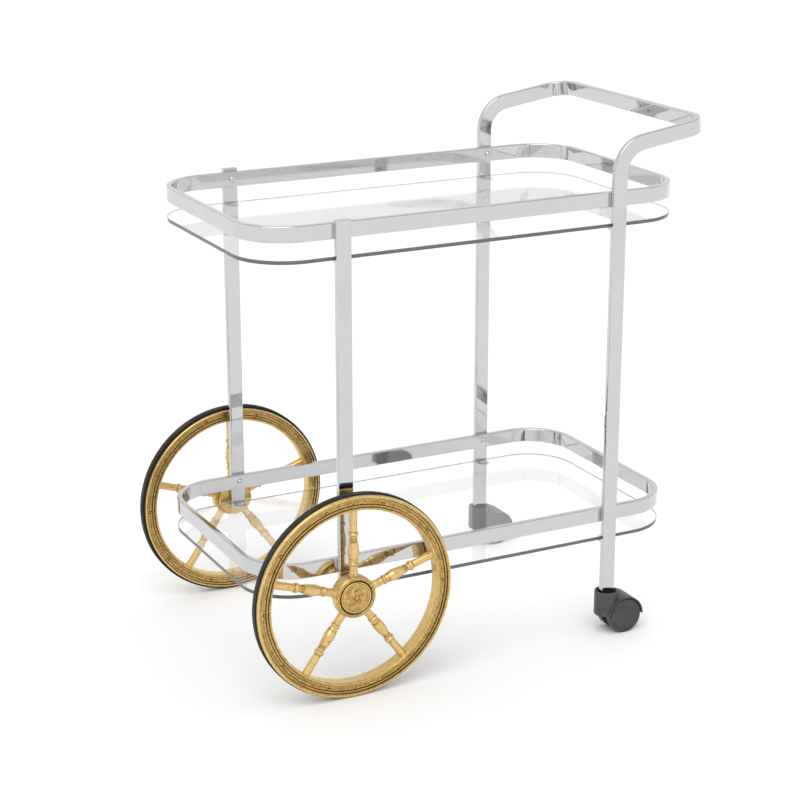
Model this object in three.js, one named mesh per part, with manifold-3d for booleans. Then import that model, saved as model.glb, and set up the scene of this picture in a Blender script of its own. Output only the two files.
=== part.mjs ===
// A two-tier bar cart: a chromed flat-tube frame holding two glass shelves inside guard rails,
// with two large gilded spoke wheels at one end and two twin-wheel casters under the handle end.
// Millimetres, +Z up, +X towards the handle; "left" and "right" are as seen by the person pushing.
import * as THREE from "three";
import { mergeVertices } from "three/addons/utils/BufferGeometryUtils.js";
import Module from "manifold-3d";

const wasm = await Module();
wasm.setup();

// Driving dimensions
const GAP = 0.3; // left between two pieces that touch
const OVER = 1; // how far a cutting tool runs past the face it cuts
const TUBE_W = 21; // flat tube, wide side
const TUBE_D = 8; // flat tube, narrow side
const WALL = 1.2; // tube wall
const GLASS_L = 644;
const GLASS_W = 360;
const GLASS_T = 5;
const CORNER_R = 72; // plan corners of the shelves and rails
const POST_X = 204; // posts and legs, either side of the middle
const POST_TOP = 639.5;
const POST_BOTTOM = 131.5;
const UPPER_RAIL_Z = 625; // middle height of each rail
const LOWER_RAIL_Z = 176.3;
const UPPER_GLASS_TOP = 592;
const LOWER_GLASS_TOP = 143.7;
const HANDLE_TOP = 726;
const HANDLE_END_X = 346;
const HANDLE_SLOPE = THREE.MathUtils.degToRad(8.5); // the handle arms rise towards the grip
const BEND_R = 40.5; // leg-to-arm bend, on the tube's middle
const GRIP_CORNER_R = 35; // outside of the two grip corners
const LEG_BOTTOM = 58;

const PAD_R = 5;
const PAD_T = 1.3;
const TAB_W = 18;
const TAB_REACH = 15;
const TAB_T = 2.5;

const SCREW_R = 2;
const SCREW_HEAD_R = 4.7;
const SCREW_HEAD_H = 2.8;
const SCREW_DOME = [[0, 1], [0.7, 0.75], [1, 0.2]]; // shares of the head's radius and height

const WHEEL_R = 142; // outside of the tyre, and so the axle's height
const TYRE_BACK = 202; // distances from the cart's middle plane, here and below
const TYRE_FRONT = 211.7;
const TYRE_EASE = 0.8;
const RIM_INNER_R = 120.4;
const RIM_SEAT_R = 138.4;
const RIM_BEAD_R = 140.4;
const RIM_BACK = 196.8;
const RIM_BACK_EASE = 2;
const RIM_SHOULDER = 212; // where the seat ends against the outer bead
const RIM_FRONT = 216.8;
const RIM_RECESS = 1.2; // the face's depth between its two beads
const BEAD_W = 3;
const BEAD_EASE = 1;
const SPOKES = 5;
const SPOKE_PLANE = 208;
const TENON_R = 3.5;
const HUB_TENON = 7; // tenon lengths beyond the spoke's shoulders
const RIM_TENON = 6.5;
const TENON_ROOM = 0.5; // left beyond a tenon's end
// The spoke's turning between its shoulders: radius, distance from the wheel's centre
const SPOKE_TURNING = [
  [5.6, 44.5],
  [6.6, 47.2],
  [6.1, 50.7],
  [7.6, 60.8],
  [5.3, 83.5],
  [6.9, 87.2],
  [5.3, 91.3],
];
const NECK_R = 5.6; // the spoke's radius at the hub and at the rim
const SHAFT_R = 5.3;
const HUB_BACK = 190;
const HUB_FLANGE_BACK = 202;
const HUB_R = 28.9;
const HUB_BARREL_R = 25;
const HUB_EASE = 1.5;
const NUT_POCKET_R = 9.5;
const NUT_POCKET_FLOOR = 206;
const CAP_R = 22.6;
const CAP_SEAT = 213.8;
const CAP_DOME = [[1, 216.2], [0.85, 217.4], [0.5, 218.5], [0, 219]]; // share of the radius, distance
const AXLE_R = 4;
const AXLE_END = 212;
const WASHER_R = 9;
const NUT_FLATS = 13;
const NUT_END = 211;

const CASTER_R = 25;
const CASTER_TRAIL = 22; // swivel axis to wheel axle
const CASTER_HALF_W = 20;
const CASTER_WEB = 5.4; // half the thickness of the body between the two wheels
const WEB_R = 19;
const HOOD_R = 28.3;
const ROLLER_ROOM_R = 26;
const ROLLER_BACK = 5.8; // distances from the caster's middle plane
const ROLLER_FACE = 19.6;
const ROLLER_BORE_END = 17;
const ROLLER_BACK_EASE = 1;
const ROLLER_EDGE_W = 3; // the sloping border round a roller's face
const ROLLER_EDGE_D = 1.6;
const CUP_R = 16.9;
const CUP_TOP = 62;
const CUP_FLOOR = 55;
const CUP_BOTTOM = 27;
const RECESS_R = 13.8;
const STEM_R = 4;
const STEM_BOTTOM = 31;
const STEM_ROOM = 0.5;
const COLLAR_R = 7;
const TONGUE_BOTTOM = 57;
const TONGUE_TOP = 77;
const CASTER_AXLE_R = 2.5;
const CASTER_AXLE_HALF = 16.5;

const SAME_POINT = 1e-4; // vertices closer than this are one

// Worked out from the driving dimensions
const POST_INNER = GLASS_W / 2 + GAP;
const POST_OUTER = POST_INNER + TUBE_D;
const POST_MID = POST_INNER + TUBE_D / 2;
const RAIL_INNER = GLASS_W / 2 - TUBE_D;
const ARM_TURN = Math.PI / 2 - HANDLE_SLOPE;
const ARM_START_X = POST_X + BEND_R * (1 - Math.cos(ARM_TURN));
const GRIP_FACE_X = HANDLE_END_X - (TUBE_W / 2) * Math.sin(HANDLE_SLOPE);
const ARM_LENGTH = (GRIP_FACE_X - ARM_START_X) / Math.cos(HANDLE_SLOPE);
const ARM_START_Z =
  HANDLE_TOP - (TUBE_W / 2) * Math.cos(HANDLE_SLOPE) - ARM_LENGTH * Math.sin(HANDLE_SLOPE);
const BEND_Z = ARM_START_Z - BEND_R * Math.sin(ARM_TURN);
const GRIP_BEND_LENGTH = GRIP_CORNER_R + 25; // the stretch of each arm made with the grip

// Materials
const finish = (color, roughness, metalness, extra = {}) =>
  new THREE.MeshStandardMaterial({ color, roughness, metalness, flatShading: true, ...extra });
const chrome = finish(0xd4d6da, 0.12, 1);
const glass = finish(0xdcebe6, 0.05, 0, { transparent: true, opacity: 0.35 });
const gold = finish(0xc79c4b, 0.4, 0.8);
const rubber = finish(0x262226, 0.8, 0);
const casterPlastic = finish(0x444345, 0.5, 0);
const padClear = finish(0xe6e8e8, 0.3, 0);
const steel = finish(0xb9bbbf, 0.35, 1);

// Solids: joining and cutting closed geometries
function toSolid(geometry) {
  const bare = geometry.index ? geometry.toNonIndexed() : geometry.clone();
  bare.deleteAttribute("normal");
  bare.deleteAttribute("uv");
  const merged = mergeVertices(bare, SAME_POINT);
  return new wasm.Manifold(
    new wasm.Mesh({
      numProp: 3,
      vertProperties: merged.attributes.position.array,
      triVerts: new Uint32Array(merged.index.array),
    }),
  );
}

function toGeometry(solid) {
  const mesh = solid.getMesh();
  const geometry = new THREE.BufferGeometry();
  geometry.setAttribute("position", new THREE.BufferAttribute(new Float32Array(mesh.vertProperties), 3));
  geometry.setIndex(new THREE.BufferAttribute(new Uint32Array(mesh.triVerts), 1));
  return geometry;
}

const join = (...pieces) => toGeometry(pieces.map(toSolid).reduce((whole, piece) => whole.add(piece)));
const cut = (body, ...tools) =>
  toGeometry(tools.map(toSolid).reduce((rest, tool) => rest.subtract(tool), toSolid(body)));

// Basic shapes
const boxAt = (w, d, h, x, y, z) => new THREE.BoxGeometry(w, d, h).translate(x, y, z);
const profile = (points) => points.map(([radius, along]) => new THREE.Vector2(radius, along));
const lathe = (points, segments) => new THREE.LatheGeometry(profile(points), segments);
const loop = (points) => [...points, points[0]];

// A round bar along Y between two distances.
function barY(radius, from, to, segments = 16) {
  return lathe([[0, from], [radius, from], [radius, to], [0, to]], segments);
}

// A round bar along Z between two heights.
function barZ(radius, from, to, segments = 24) {
  return barY(radius, from, to, segments).rotateX(Math.PI / 2);
}

// A plate with its outline in the XY plane, from height z upwards.
function plate(shape, thickness, z, curveSegments = 4) {
  return new THREE.ExtrudeGeometry(shape, { depth: thickness, bevelEnabled: false, curveSegments })
    .translate(0, 0, z);
}

// A rectangle with rounded corners, as a shape or as a hole in one.
function roundedRectangle(PathType, length, width, radius) {
  const x = length / 2 - radius;
  const y = width / 2 - radius;
  const path = new PathType();
  path.moveTo(x, -y - radius);
  path.absarc(x, -y, radius, -Math.PI / 2, 0);
  path.absarc(x, y, radius, 0, Math.PI / 2);
  path.absarc(-x, y, radius, Math.PI / 2, Math.PI);
  path.absarc(-x, -y, radius, Math.PI, Math.PI * 1.5);
  path.closePath();
  return path;
}

// Shelves and rails
function glassShelf(top) {
  return plate(roundedRectangle(THREE.Shape, GLASS_L, GLASS_W, CORNER_R), GLASS_T, top - GLASS_T);
}

// The closed band between two rounded rectangles, standing on its edge; inset shrinks every side of it.
function railBand(middle, inset) {
  const band = roundedRectangle(THREE.Shape, GLASS_L - 2 * inset, GLASS_W - 2 * inset, CORNER_R - inset);
  const inner = TUBE_D - inset;
  band.holes.push(
    roundedRectangle(THREE.Path, GLASS_L - 2 * inner, GLASS_W - 2 * inner, CORNER_R - inner),
  );
  const height = TUBE_W - 2 * inset;
  return plate(band, height, middle - height / 2);
}

// A hole across the tube at each post, for the rail screws.
function screwHoles(middle, from, to) {
  const holes = [];
  for (const x of [-POST_X, POST_X]) {
    for (const side of [-1, 1]) {
      holes.push(barY(SCREW_R + GAP, from, to, 12).rotateZ(side > 0 ? 0 : Math.PI).translate(x, 0, middle));
    }
  }
  return holes;
}

function guardRail(middle) {
  return cut(
    railBand(middle, 0),
    railBand(middle, WALL),
    ...screwHoles(middle, RAIL_INNER - OVER, GLASS_W / 2 + OVER),
  );
}

// Tabs welded to a post under each shelf, pointing at the cart's middle from the +Y side.
function shelfTab(glassTop) {
  const half = TAB_W / 2;
  const root = POST_INNER + WALL / 2;
  const tip = POST_INNER - TAB_REACH;
  const shape = new THREE.Shape();
  shape.moveTo(half, root);
  shape.lineTo(-half, root);
  shape.lineTo(-half, tip + half);
  shape.absarc(0, tip + half, half, Math.PI, Math.PI * 2);
  shape.closePath();
  const top = glassTop - GLASS_T - PAD_T - 2 * GAP;
  return plate(shape, TAB_T, top - TAB_T, 4);
}

const shelfTabs = () => [UPPER_GLASS_TOP, LOWER_GLASS_TOP].map(shelfTab);

// Both screw holes of one post or leg, in its inner wall only.
function postScrewHoles() {
  return [UPPER_RAIL_Z, LOWER_RAIL_Z].map((z) =>
    barY(SCREW_R + GAP, POST_INNER - OVER, POST_INNER + WALL + OVER, 12).translate(0, 0, z),
  );
}

// A post stands at x = 0 on the +Y side; the group that holds it puts it in place.
function wheelPost() {
  const height = POST_TOP - POST_BOTTOM;
  const middle = (POST_TOP + POST_BOTTOM) / 2;
  const tube = boxAt(TUBE_W, TUBE_D, height, 0, POST_MID, middle);
  const bore = boxAt(TUBE_W - 2 * WALL, TUBE_D - 2 * WALL, height, 0, POST_MID, middle - WALL);
  const axleHole = barY(AXLE_R + GAP, POST_INNER - OVER, POST_OUTER + OVER).translate(0, 0, WHEEL_R);
  const holes = [bore, axleHole, ...postScrewHoles()];
  return join(cut(tube, ...holes), ...shelfTabs());
}

// The bent side of the handle frame: leg, bend and the first stretch of the arm, inset all round.
function legSolid(inset, bottom) {
  const outer = BEND_R + TUBE_W / 2 - inset;
  const inner = BEND_R - TUBE_W / 2 + inset;
  const centreX = POST_X + BEND_R;
  const last = Math.PI / 2 + HANDLE_SLOPE;
  const reach = ARM_LENGTH - GRIP_BEND_LENGTH + OVER;
  const stepX = reach * Math.cos(HANDLE_SLOPE);
  const stepZ = reach * Math.sin(HANDLE_SLOPE);
  const armPoint = (radius) => [
    centreX + radius * Math.cos(last) + stepX,
    BEND_Z + radius * Math.sin(last) + stepZ,
  ];
  const shape = new THREE.Shape();
  shape.moveTo(centreX - outer, bottom);
  shape.lineTo(centreX - inner, bottom);
  shape.absarc(centreX, BEND_Z, inner, Math.PI, last, true);
  shape.lineTo(...armPoint(inner));
  shape.lineTo(...armPoint(outer));
  shape.absarc(centreX, BEND_Z, outer, last, Math.PI, false);
  shape.closePath();
  return plate(shape, TUBE_D - 2 * inset, 0, 5).rotateX(Math.PI / 2).translate(0, POST_OUTER - inset, 0);
}

// The grip: a flat U in the arms' own tilted plane, inset all round.
function gripSolid(inset) {
  const start = ARM_LENGTH - GRIP_BEND_LENGTH;
  const end = ARM_LENGTH - inset;
  const back = ARM_LENGTH - TUBE_D + inset;
  const outerY = POST_OUTER - inset;
  const innerY = POST_INNER + inset;
  const outerR = GRIP_CORNER_R - inset;
  const innerR = GRIP_CORNER_R - TUBE_D + inset;
  const shape = new THREE.Shape();
  shape.moveTo(start, -outerY);
  shape.absarc(end - outerR, -outerY + outerR, outerR, -Math.PI / 2, 0);
  shape.absarc(end - outerR, outerY - outerR, outerR, 0, Math.PI / 2);
  shape.lineTo(start, outerY);
  shape.lineTo(start, innerY);
  shape.absarc(back - innerR, innerY - innerR, innerR, Math.PI / 2, 0, true);
  shape.absarc(back - innerR, -innerY + innerR, innerR, 0, -Math.PI / 2, true);
  shape.lineTo(start, -innerY);
  shape.closePath();
  const height = TUBE_W - 2 * inset;
  return plate(shape, height, -height / 2, 3)
    .rotateY(-HANDLE_SLOPE)
    .translate(ARM_START_X, 0, ARM_START_Z);
}

function handleFrameSolid(inset, bottom) {
  const leg = legSolid(inset, bottom);
  const mirrored = legSolid(inset, bottom).translate(0, -POST_OUTER - POST_INNER, 0);
  return join(leg, mirrored, gripSolid(inset));
}

// One bent tube from caster to caster, open at both lower ends, with its shelf tabs.
function handleFrame() {
  const tube = cut(handleFrameSolid(0, LEG_BOTTOM), handleFrameSolid(WALL, LEG_BOTTOM - OVER));
  const sides = [0, Math.PI];
  const onLegs = (pieces) =>
    sides.flatMap((turn) =>
      pieces().map((piece) => piece.rotateZ(turn).translate(POST_X, 0, 0)),
    );
  return join(cut(tube, ...onLegs(postScrewHoles)), ...onLegs(shelfTabs));
}

function railScrew() {
  const face = RAIL_INNER - GAP;
  return lathe(
    [
      ...SCREW_DOME.map(([out, up]) => [SCREW_HEAD_R * out, face - SCREW_HEAD_H * up]),
      [SCREW_HEAD_R, face],
      [SCREW_R, face],
      [SCREW_R, POST_MID],
      [0, POST_MID],
    ],
    12,
  );
}

function bumperPad(glassTop) {
  const top = glassTop - GLASS_T - GAP;
  return barZ(PAD_R, top - PAD_T, top, 16).translate(0, POST_INNER - TAB_REACH + TAB_W / 2, 0);
}

// Large wheels: everything turns about Y.
function tyre() {
  return lathe(
    loop([
      [RIM_SEAT_R + GAP, TYRE_BACK],
      [WHEEL_R - TYRE_EASE, TYRE_BACK],
      [WHEEL_R, TYRE_BACK + TYRE_EASE],
      [WHEEL_R, TYRE_FRONT - TYRE_EASE],
      [WHEEL_R - TYRE_EASE, TYRE_FRONT],
      [RIM_SEAT_R + GAP, TYRE_FRONT],
    ]),
    48,
  );
}

// Sockets at each spoke's angle, the first one straight up.
function tenonHoles(from, to) {
  return Array.from({ length: SPOKES }, (_, i) =>
    barZ(TENON_R + GAP, from, to, 8).translate(0, SPOKE_PLANE, 0).rotateY((2 * Math.PI * i) / SPOKES),
  );
}

function rim() {
  const face = RIM_FRONT - RIM_RECESS;
  const turned = lathe(
    loop([
      [RIM_INNER_R, RIM_BACK + RIM_BACK_EASE],
      [RIM_INNER_R + RIM_BACK_EASE, RIM_BACK],
      [RIM_SEAT_R, RIM_BACK],
      [RIM_SEAT_R, RIM_SHOULDER],
      [RIM_BEAD_R, RIM_SHOULDER],
      [RIM_BEAD_R, RIM_FRONT - BEAD_EASE],
      [RIM_BEAD_R - BEAD_W, RIM_FRONT],
      [RIM_BEAD_R - BEAD_W - BEAD_EASE, face],
      [RIM_INNER_R + BEAD_W + BEAD_EASE, face],
      [RIM_INNER_R + BEAD_W, RIM_FRONT],
      [RIM_INNER_R, RIM_FRONT - BEAD_EASE],
    ]),
    48,
  );
  return cut(turned, ...tenonHoles(RIM_INNER_R - 2 * OVER, RIM_INNER_R + RIM_TENON + TENON_ROOM));
}

// A turned baluster spoke from its hub tenon to its rim tenon, standing along Z.
function spoke() {
  const shoulder = HUB_R + GAP;
  const end = RIM_INNER_R - 2 * GAP;
  const outline = [
    [0, shoulder - HUB_TENON],
    [TENON_R, shoulder - HUB_TENON],
    [TENON_R, shoulder],
    [NECK_R, shoulder],
    ...SPOKE_TURNING,
    [SHAFT_R, end],
    [TENON_R, end],
    [TENON_R, end + RIM_TENON],
    [0, end + RIM_TENON],
  ];
  return lathe(outline, 8).rotateX(Math.PI / 2);
}

function hub() {
  const turned = lathe(
    loop([
      [AXLE_R + GAP, HUB_BACK],
      [HUB_BARREL_R - HUB_EASE, HUB_BACK],
      [HUB_BARREL_R, HUB_BACK + HUB_EASE],
      [HUB_BARREL_R, HUB_FLANGE_BACK],
      [HUB_R, HUB_FLANGE_BACK],
      [HUB_R, RIM_FRONT - BEAD_EASE],
      [HUB_R - BEAD_EASE, RIM_FRONT],
      [CAP_R + GAP, RIM_FRONT],
      [CAP_R + GAP, CAP_SEAT],
      [NUT_POCKET_R, CAP_SEAT],
      [NUT_POCKET_R, NUT_POCKET_FLOOR],
      [AXLE_R + GAP, NUT_POCKET_FLOOR],
    ]),
    24,
  );
  return cut(turned, ...tenonHoles(HUB_R - HUB_TENON - TENON_ROOM, HUB_R + 2 * OVER));
}

function hubCap() {
  const back = CAP_SEAT + GAP;
  const dome = CAP_DOME.map(([share, along]) => [CAP_R * share, along]);
  return lathe([[0, back], [CAP_R, back], ...dome], 24);
}

const stubAxle = () => barY(AXLE_R, POST_INNER + GAP, AXLE_END);

function ring(inner, outer, from, to, segments) {
  return lathe(loop([[inner, from], [outer, from], [outer, to], [inner, to]]), segments);
}

const axleWasher = () => ring(AXLE_R + GAP, WASHER_R, POST_OUTER + GAP, HUB_BACK - GAP, 16);

function lockNut() {
  const hexagon = barY(NUT_FLATS / Math.sqrt(3), NUT_POCKET_FLOOR + GAP, NUT_END, 6);
  return cut(hexagon, barY(AXLE_R + GAP, NUT_POCKET_FLOOR - OVER, NUT_END + OVER));
}

// Casters: the swivel axis is X = Y = 0 and the wheels trail towards +X.
function casterStem() {
  const pin = barZ(STEM_R, STEM_BOTTOM, CUP_FLOOR + OVER, 16);
  const collar = barZ(COLLAR_R, CUP_FLOOR + GAP, LEG_BOTTOM - GAP);
  const tongueW = TUBE_W - 2 * WALL - 2 * GAP;
  const tongueD = TUBE_D - 2 * WALL - 2 * GAP;
  const tongueH = TONGUE_TOP - TONGUE_BOTTOM;
  const tongue = boxAt(tongueW, tongueD, tongueH, 0, 0, (TONGUE_TOP + TONGUE_BOTTOM) / 2);
  return join(pin, collar, tongue);
}

const aboutCasterAxle = (geometry) => geometry.translate(CASTER_TRAIL, 0, CASTER_R);

function casterBody() {
  const wide = 4 * HOOD_R;
  const hood = cut(
    aboutCasterAxle(barY(HOOD_R, -CASTER_HALF_W, CASTER_HALF_W, 32)),
    boxAt(wide, wide, wide, CASTER_TRAIL, 0, CASTER_R - wide / 2),
  );
  const web = aboutCasterAxle(barY(WEB_R, -CASTER_WEB, CASTER_WEB, 20));
  const cup = barZ(CUP_R, CUP_BOTTOM, CUP_TOP, 24);
  const wheelRooms = [-1, 1].map((side) =>
    aboutCasterAxle(
      barY(ROLLER_ROOM_R, CASTER_WEB, CASTER_HALF_W + OVER, 32).rotateZ(side > 0 ? 0 : Math.PI),
    ),
  );
  return cut(
    join(hood, web, cup),
    ...wheelRooms,
    barZ(RECESS_R, CUP_FLOOR, CUP_TOP + OVER),
    barZ(STEM_R + GAP, STEM_BOTTOM - STEM_ROOM, CUP_TOP, 16),
    aboutCasterAxle(barY(CASTER_AXLE_R + GAP, -CASTER_HALF_W, CASTER_HALF_W, 12)),
  );
}

function casterWheel() {
  return lathe(
    [
      [0, ROLLER_BORE_END],
      [CASTER_AXLE_R + GAP, ROLLER_BORE_END],
      [CASTER_AXLE_R + GAP, ROLLER_BACK],
      [CASTER_R - ROLLER_BACK_EASE, ROLLER_BACK],
      [CASTER_R, ROLLER_BACK + ROLLER_BACK_EASE],
      [CASTER_R, ROLLER_FACE - ROLLER_EDGE_D],
      [CASTER_R - ROLLER_EDGE_W, ROLLER_FACE],
      [0, ROLLER_FACE],
    ],
    28,
  );
}

const casterAxle = () => barY(CASTER_AXLE_R, -CASTER_AXLE_HALF, CASTER_AXLE_HALF, 12);

// Assembly
function addMesh(group, name, geometry, material) {
  const mesh = new THREE.Mesh(geometry, material);
  mesh.name = name;
  group.add(mesh);
  return mesh;
}

// A group for one side of the cart at a given x; the left one is the right one turned half round.
function sideGroup(cart, side, x, y = 0, z = 0) {
  const group = new THREE.Group();
  group.position.set(x, side.sign * y, z);
  group.rotation.z = side.sign > 0 ? 0 : Math.PI;
  cart.add(group);
  return group;
}

const cart = new THREE.Group();
const sides = [
  { name: "left", sign: -1 },
  { name: "right", sign: 1 },
];
const levels = [
  { name: "upper", railZ: UPPER_RAIL_Z, glassTop: UPPER_GLASS_TOP },
  { name: "lower", railZ: LOWER_RAIL_Z, glassTop: LOWER_GLASS_TOP },
];
const ends = [
  { name: "wheel", x: -POST_X },
  { name: "handle", x: POST_X },
];

addMesh(cart, "handle_frame", handleFrame(), chrome);
for (const level of levels) {
  addMesh(cart, `${level.name}_guard_rail`, guardRail(level.railZ), chrome);
  addMesh(cart, `${level.name}_glass_shelf`, glassShelf(level.glassTop), glass);
}

for (const side of sides) {
  for (const end of ends) {
    const corner = sideGroup(cart, side, end.x);
    const place = `${end.name}_${side.name}`;
    for (const level of levels) {
      const screw = addMesh(corner, `${level.name}_rail_screw_${place}`, railScrew(), steel);
      screw.position.z = level.railZ;
      addMesh(corner, `${level.name}_glass_pad_${place}`, bumperPad(level.glassTop), padClear);
    }
  }

  addMesh(sideGroup(cart, side, -POST_X), `${side.name}_wheel_post`, wheelPost(), chrome);

  const wheel = sideGroup(cart, side, -POST_X, 0, WHEEL_R);
  addMesh(wheel, `${side.name}_stub_axle`, stubAxle(), steel);
  addMesh(wheel, `${side.name}_axle_washer`, axleWasher(), steel);
  addMesh(wheel, `${side.name}_lock_nut`, lockNut(), steel);
  addMesh(wheel, `${side.name}_tyre`, tyre(), rubber);
  addMesh(wheel, `${side.name}_rim`, rim(), gold);
  addMesh(wheel, `${side.name}_hub`, hub(), gold);
  addMesh(wheel, `${side.name}_hub_cap`, hubCap(), gold);
  for (let i = 0; i < SPOKES; i += 1) {
    const turned = addMesh(wheel, `${side.name}_spoke_${i + 1}`, spoke(), gold);
    turned.position.y = SPOKE_PLANE;
    turned.rotation.y = (2 * Math.PI * i) / SPOKES;
  }

  const caster = sideGroup(cart, side, POST_X, POST_MID);
  caster.rotation.z = 0;
  addMesh(caster, `${side.name}_caster_stem`, casterStem(), steel);
  addMesh(caster, `${side.name}_caster_body`, casterBody(), casterPlastic);
  for (const face of sides) {
    const which = face.sign === side.sign ? "outer" : "inner";
    const roller = addMesh(caster, `${side.name}_caster_wheel_${which}`, casterWheel(), rubber);
    roller.position.set(CASTER_TRAIL, 0, CASTER_R);
    roller.rotation.z = face.sign > 0 ? 0 : Math.PI;
  }
  const pin = addMesh(caster, `${side.name}_caster_axle`, casterAxle(), steel);
  pin.position.set(CASTER_TRAIL, 0, CASTER_R);
}

export default cart;
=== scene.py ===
"""A two-tier bar cart: a chromed flat-tube frame, two glass shelves inside guard rails, two gilded spoke
wheels and two hooded twin-wheel casters. Metres, +Z up, +X towards the handle.

Outlines are given in millimetres. What both sides share is made on the right (+Y) and turned half round
for the left.
"""

import math

import bmesh
import bpy
from mathutils import Matrix, Vector


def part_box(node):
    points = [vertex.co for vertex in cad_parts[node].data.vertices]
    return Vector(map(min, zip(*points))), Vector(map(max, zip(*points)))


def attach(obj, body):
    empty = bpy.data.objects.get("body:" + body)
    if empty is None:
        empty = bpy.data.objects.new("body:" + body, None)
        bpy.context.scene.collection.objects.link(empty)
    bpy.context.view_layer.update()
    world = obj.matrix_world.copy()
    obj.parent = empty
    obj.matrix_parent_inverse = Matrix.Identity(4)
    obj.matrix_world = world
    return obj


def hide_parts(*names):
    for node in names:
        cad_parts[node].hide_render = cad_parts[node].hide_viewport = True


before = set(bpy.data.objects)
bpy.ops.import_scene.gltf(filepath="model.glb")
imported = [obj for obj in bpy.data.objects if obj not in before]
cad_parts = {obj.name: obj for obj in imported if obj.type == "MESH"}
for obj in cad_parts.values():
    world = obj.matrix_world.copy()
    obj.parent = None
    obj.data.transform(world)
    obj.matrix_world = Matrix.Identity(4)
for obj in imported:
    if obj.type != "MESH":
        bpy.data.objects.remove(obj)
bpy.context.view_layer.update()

MM = 0.001
WELD = 1e-6
SHARP_ANGLE = math.radians(38)
SIDES = ("left", "right")
LEVELS = ("upper", "lower")
ENDS = ("wheel", "handle")

# Flat tube
TUBE_DEPTH = 8 * MM
TUBE_WALL = 1.2 * MM
TUBE_ROUNDING = 1.5 * MM
BORE_DEPTH = 18 * MM
CORNER_RADIUS = 72 * MM  # plan corners of the rails and shelves
HANDLE_SLOPE = math.radians(8.5)
LEG_BEND_RADIUS = 40.5 * MM
GRIP_CORNER_RADIUS = 35 * MM

# Wheels, in millimetres
RIM_INNER = 120.4
RIM_SEAT = 138.4
RIM_STEPS = (124.5, 127.8, 131.9, 135.2)  # radii of the steps in each face
RISER = 0.2  # half of a riser's width
NAILS = 10
NAIL_CIRCLE = 129.9
SPOKE_PLANE = 208
HUB_RADIUS = 28.9
HUB_BARREL = 25
HUB_BORE = 4.3
HUB_POCKET = 9.5
CAP_SEAT = 22.9

# Casters, in millimetres
ROLLER_ROOM = 26
CASTER_WEB = 5.4
WEB_RADIUS = 19
CUP_RADIUS = 16.9
CUP_RECESS = 13.8
CUP_BOTTOM = 27
CUP_FLOOR = 55
PIN_RADIUS = 4
COLLAR_RADIUS = 7


def span(node, axis):
    """A node's least and greatest distance along an axis, in millimetres."""
    low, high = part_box(node)
    return getattr(low, axis) / MM, getattr(high, axis) / MM


def half_span(node, axis):
    low, high = span(node, axis)
    return (high - low) / 2


def centre(node):
    low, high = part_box(node)
    return (low + high) / 2


TUBE_WIDTH = 2 * half_span("upper_guard_rail", "z") * MM
POST_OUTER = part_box("right_wheel_post")[1].y
POST_MIDDLE = POST_OUTER - TUBE_DEPTH / 2
POST_INNER = POST_OUTER - TUBE_DEPTH
WHEEL_CENTRE = centre("right_tyre")
WHEEL_RADIUS = half_span("right_tyre", "z")
LEG_X = centre("right_caster_stem").x
CASTER_AXLE = centre("right_caster_wheel_outer")


# ---- Making and joining shapes -------------------------------------------------------------------


def edges_among(geometry):
    return [g for g in geometry if isinstance(g, bmesh.types.BMEdge)]


def verts_among(geometry):
    return [g for g in geometry if isinstance(g, bmesh.types.BMVert)]


def moved(bm, matrix):
    bmesh.ops.transform(bm, matrix=matrix, verts=bm.verts)
    return bm


def gathered(shapes):
    """One bmesh that holds all of these."""
    whole = bmesh.new()
    for shape in shapes:
        part = bpy.data.meshes.new("part")
        shape.to_mesh(part)
        shape.free()
        whole.from_mesh(part)
        bpy.data.meshes.remove(part)
    return whole


def flat_outline(corners, rounding, steps, rounded_ones=None):
    """A flat face through a few corners, all of them rounded or only those that are counted out."""
    bm = bmesh.new()
    verts = [bm.verts.new(corner) for corner in corners]
    bm.faces.new(verts)
    picked = verts if rounded_ones is None else [verts[i] for i in rounded_ones]
    bmesh.ops.bevel(
        bm, geom=picked, offset=rounding, segments=steps, profile=0.5, affect="VERTICES", material=-1
    )
    return bm


def thickened(bm, reach):
    """A closed plate from the one flat face in bm."""
    made = bmesh.ops.extrude_face_region(bm, geom=bm.faces[:])["geom"]
    bmesh.ops.translate(bm, verts=verts_among(made), vec=reach)
    bmesh.ops.recalc_face_normals(bm, faces=bm.faces)
    return bm


def eased(bm, edges, width, steps=2):
    """Rounds these edges over."""
    bmesh.ops.bevel(
        bm, geom=edges, offset=width, segments=steps, profile=0.5, affect="EDGES", material=-1
    )
    return bm


def rim_edges(bm):
    """The edges where two faces meet at a clear angle."""
    clear = math.radians(60)
    return [e for e in bm.edges if e.is_manifold and e.calc_face_angle(0) > clear]


def softened(outline, radius, steps=3, closed=False):
    """An outline with each corner turned into a short curve, as far as its neighbours leave room."""
    points = [Vector(point) for point in outline]
    count = len(points)
    result = []
    for i, corner in enumerate(points):
        if not closed and i in (0, count - 1):
            result.append(corner)
            continue
        before = points[i - 1] - corner
        after = points[(i + 1) % count] - corner
        reach = min(radius, before.length / 2.2, after.length / 2.2)
        start = corner + before.normalized() * reach
        end = corner + after.normalized() * reach
        for step in range(steps + 1):
            t = step / steps
            result.append((1 - t) ** 2 * start + 2 * t * (1 - t) * corner + t**2 * end)
    return result


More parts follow.
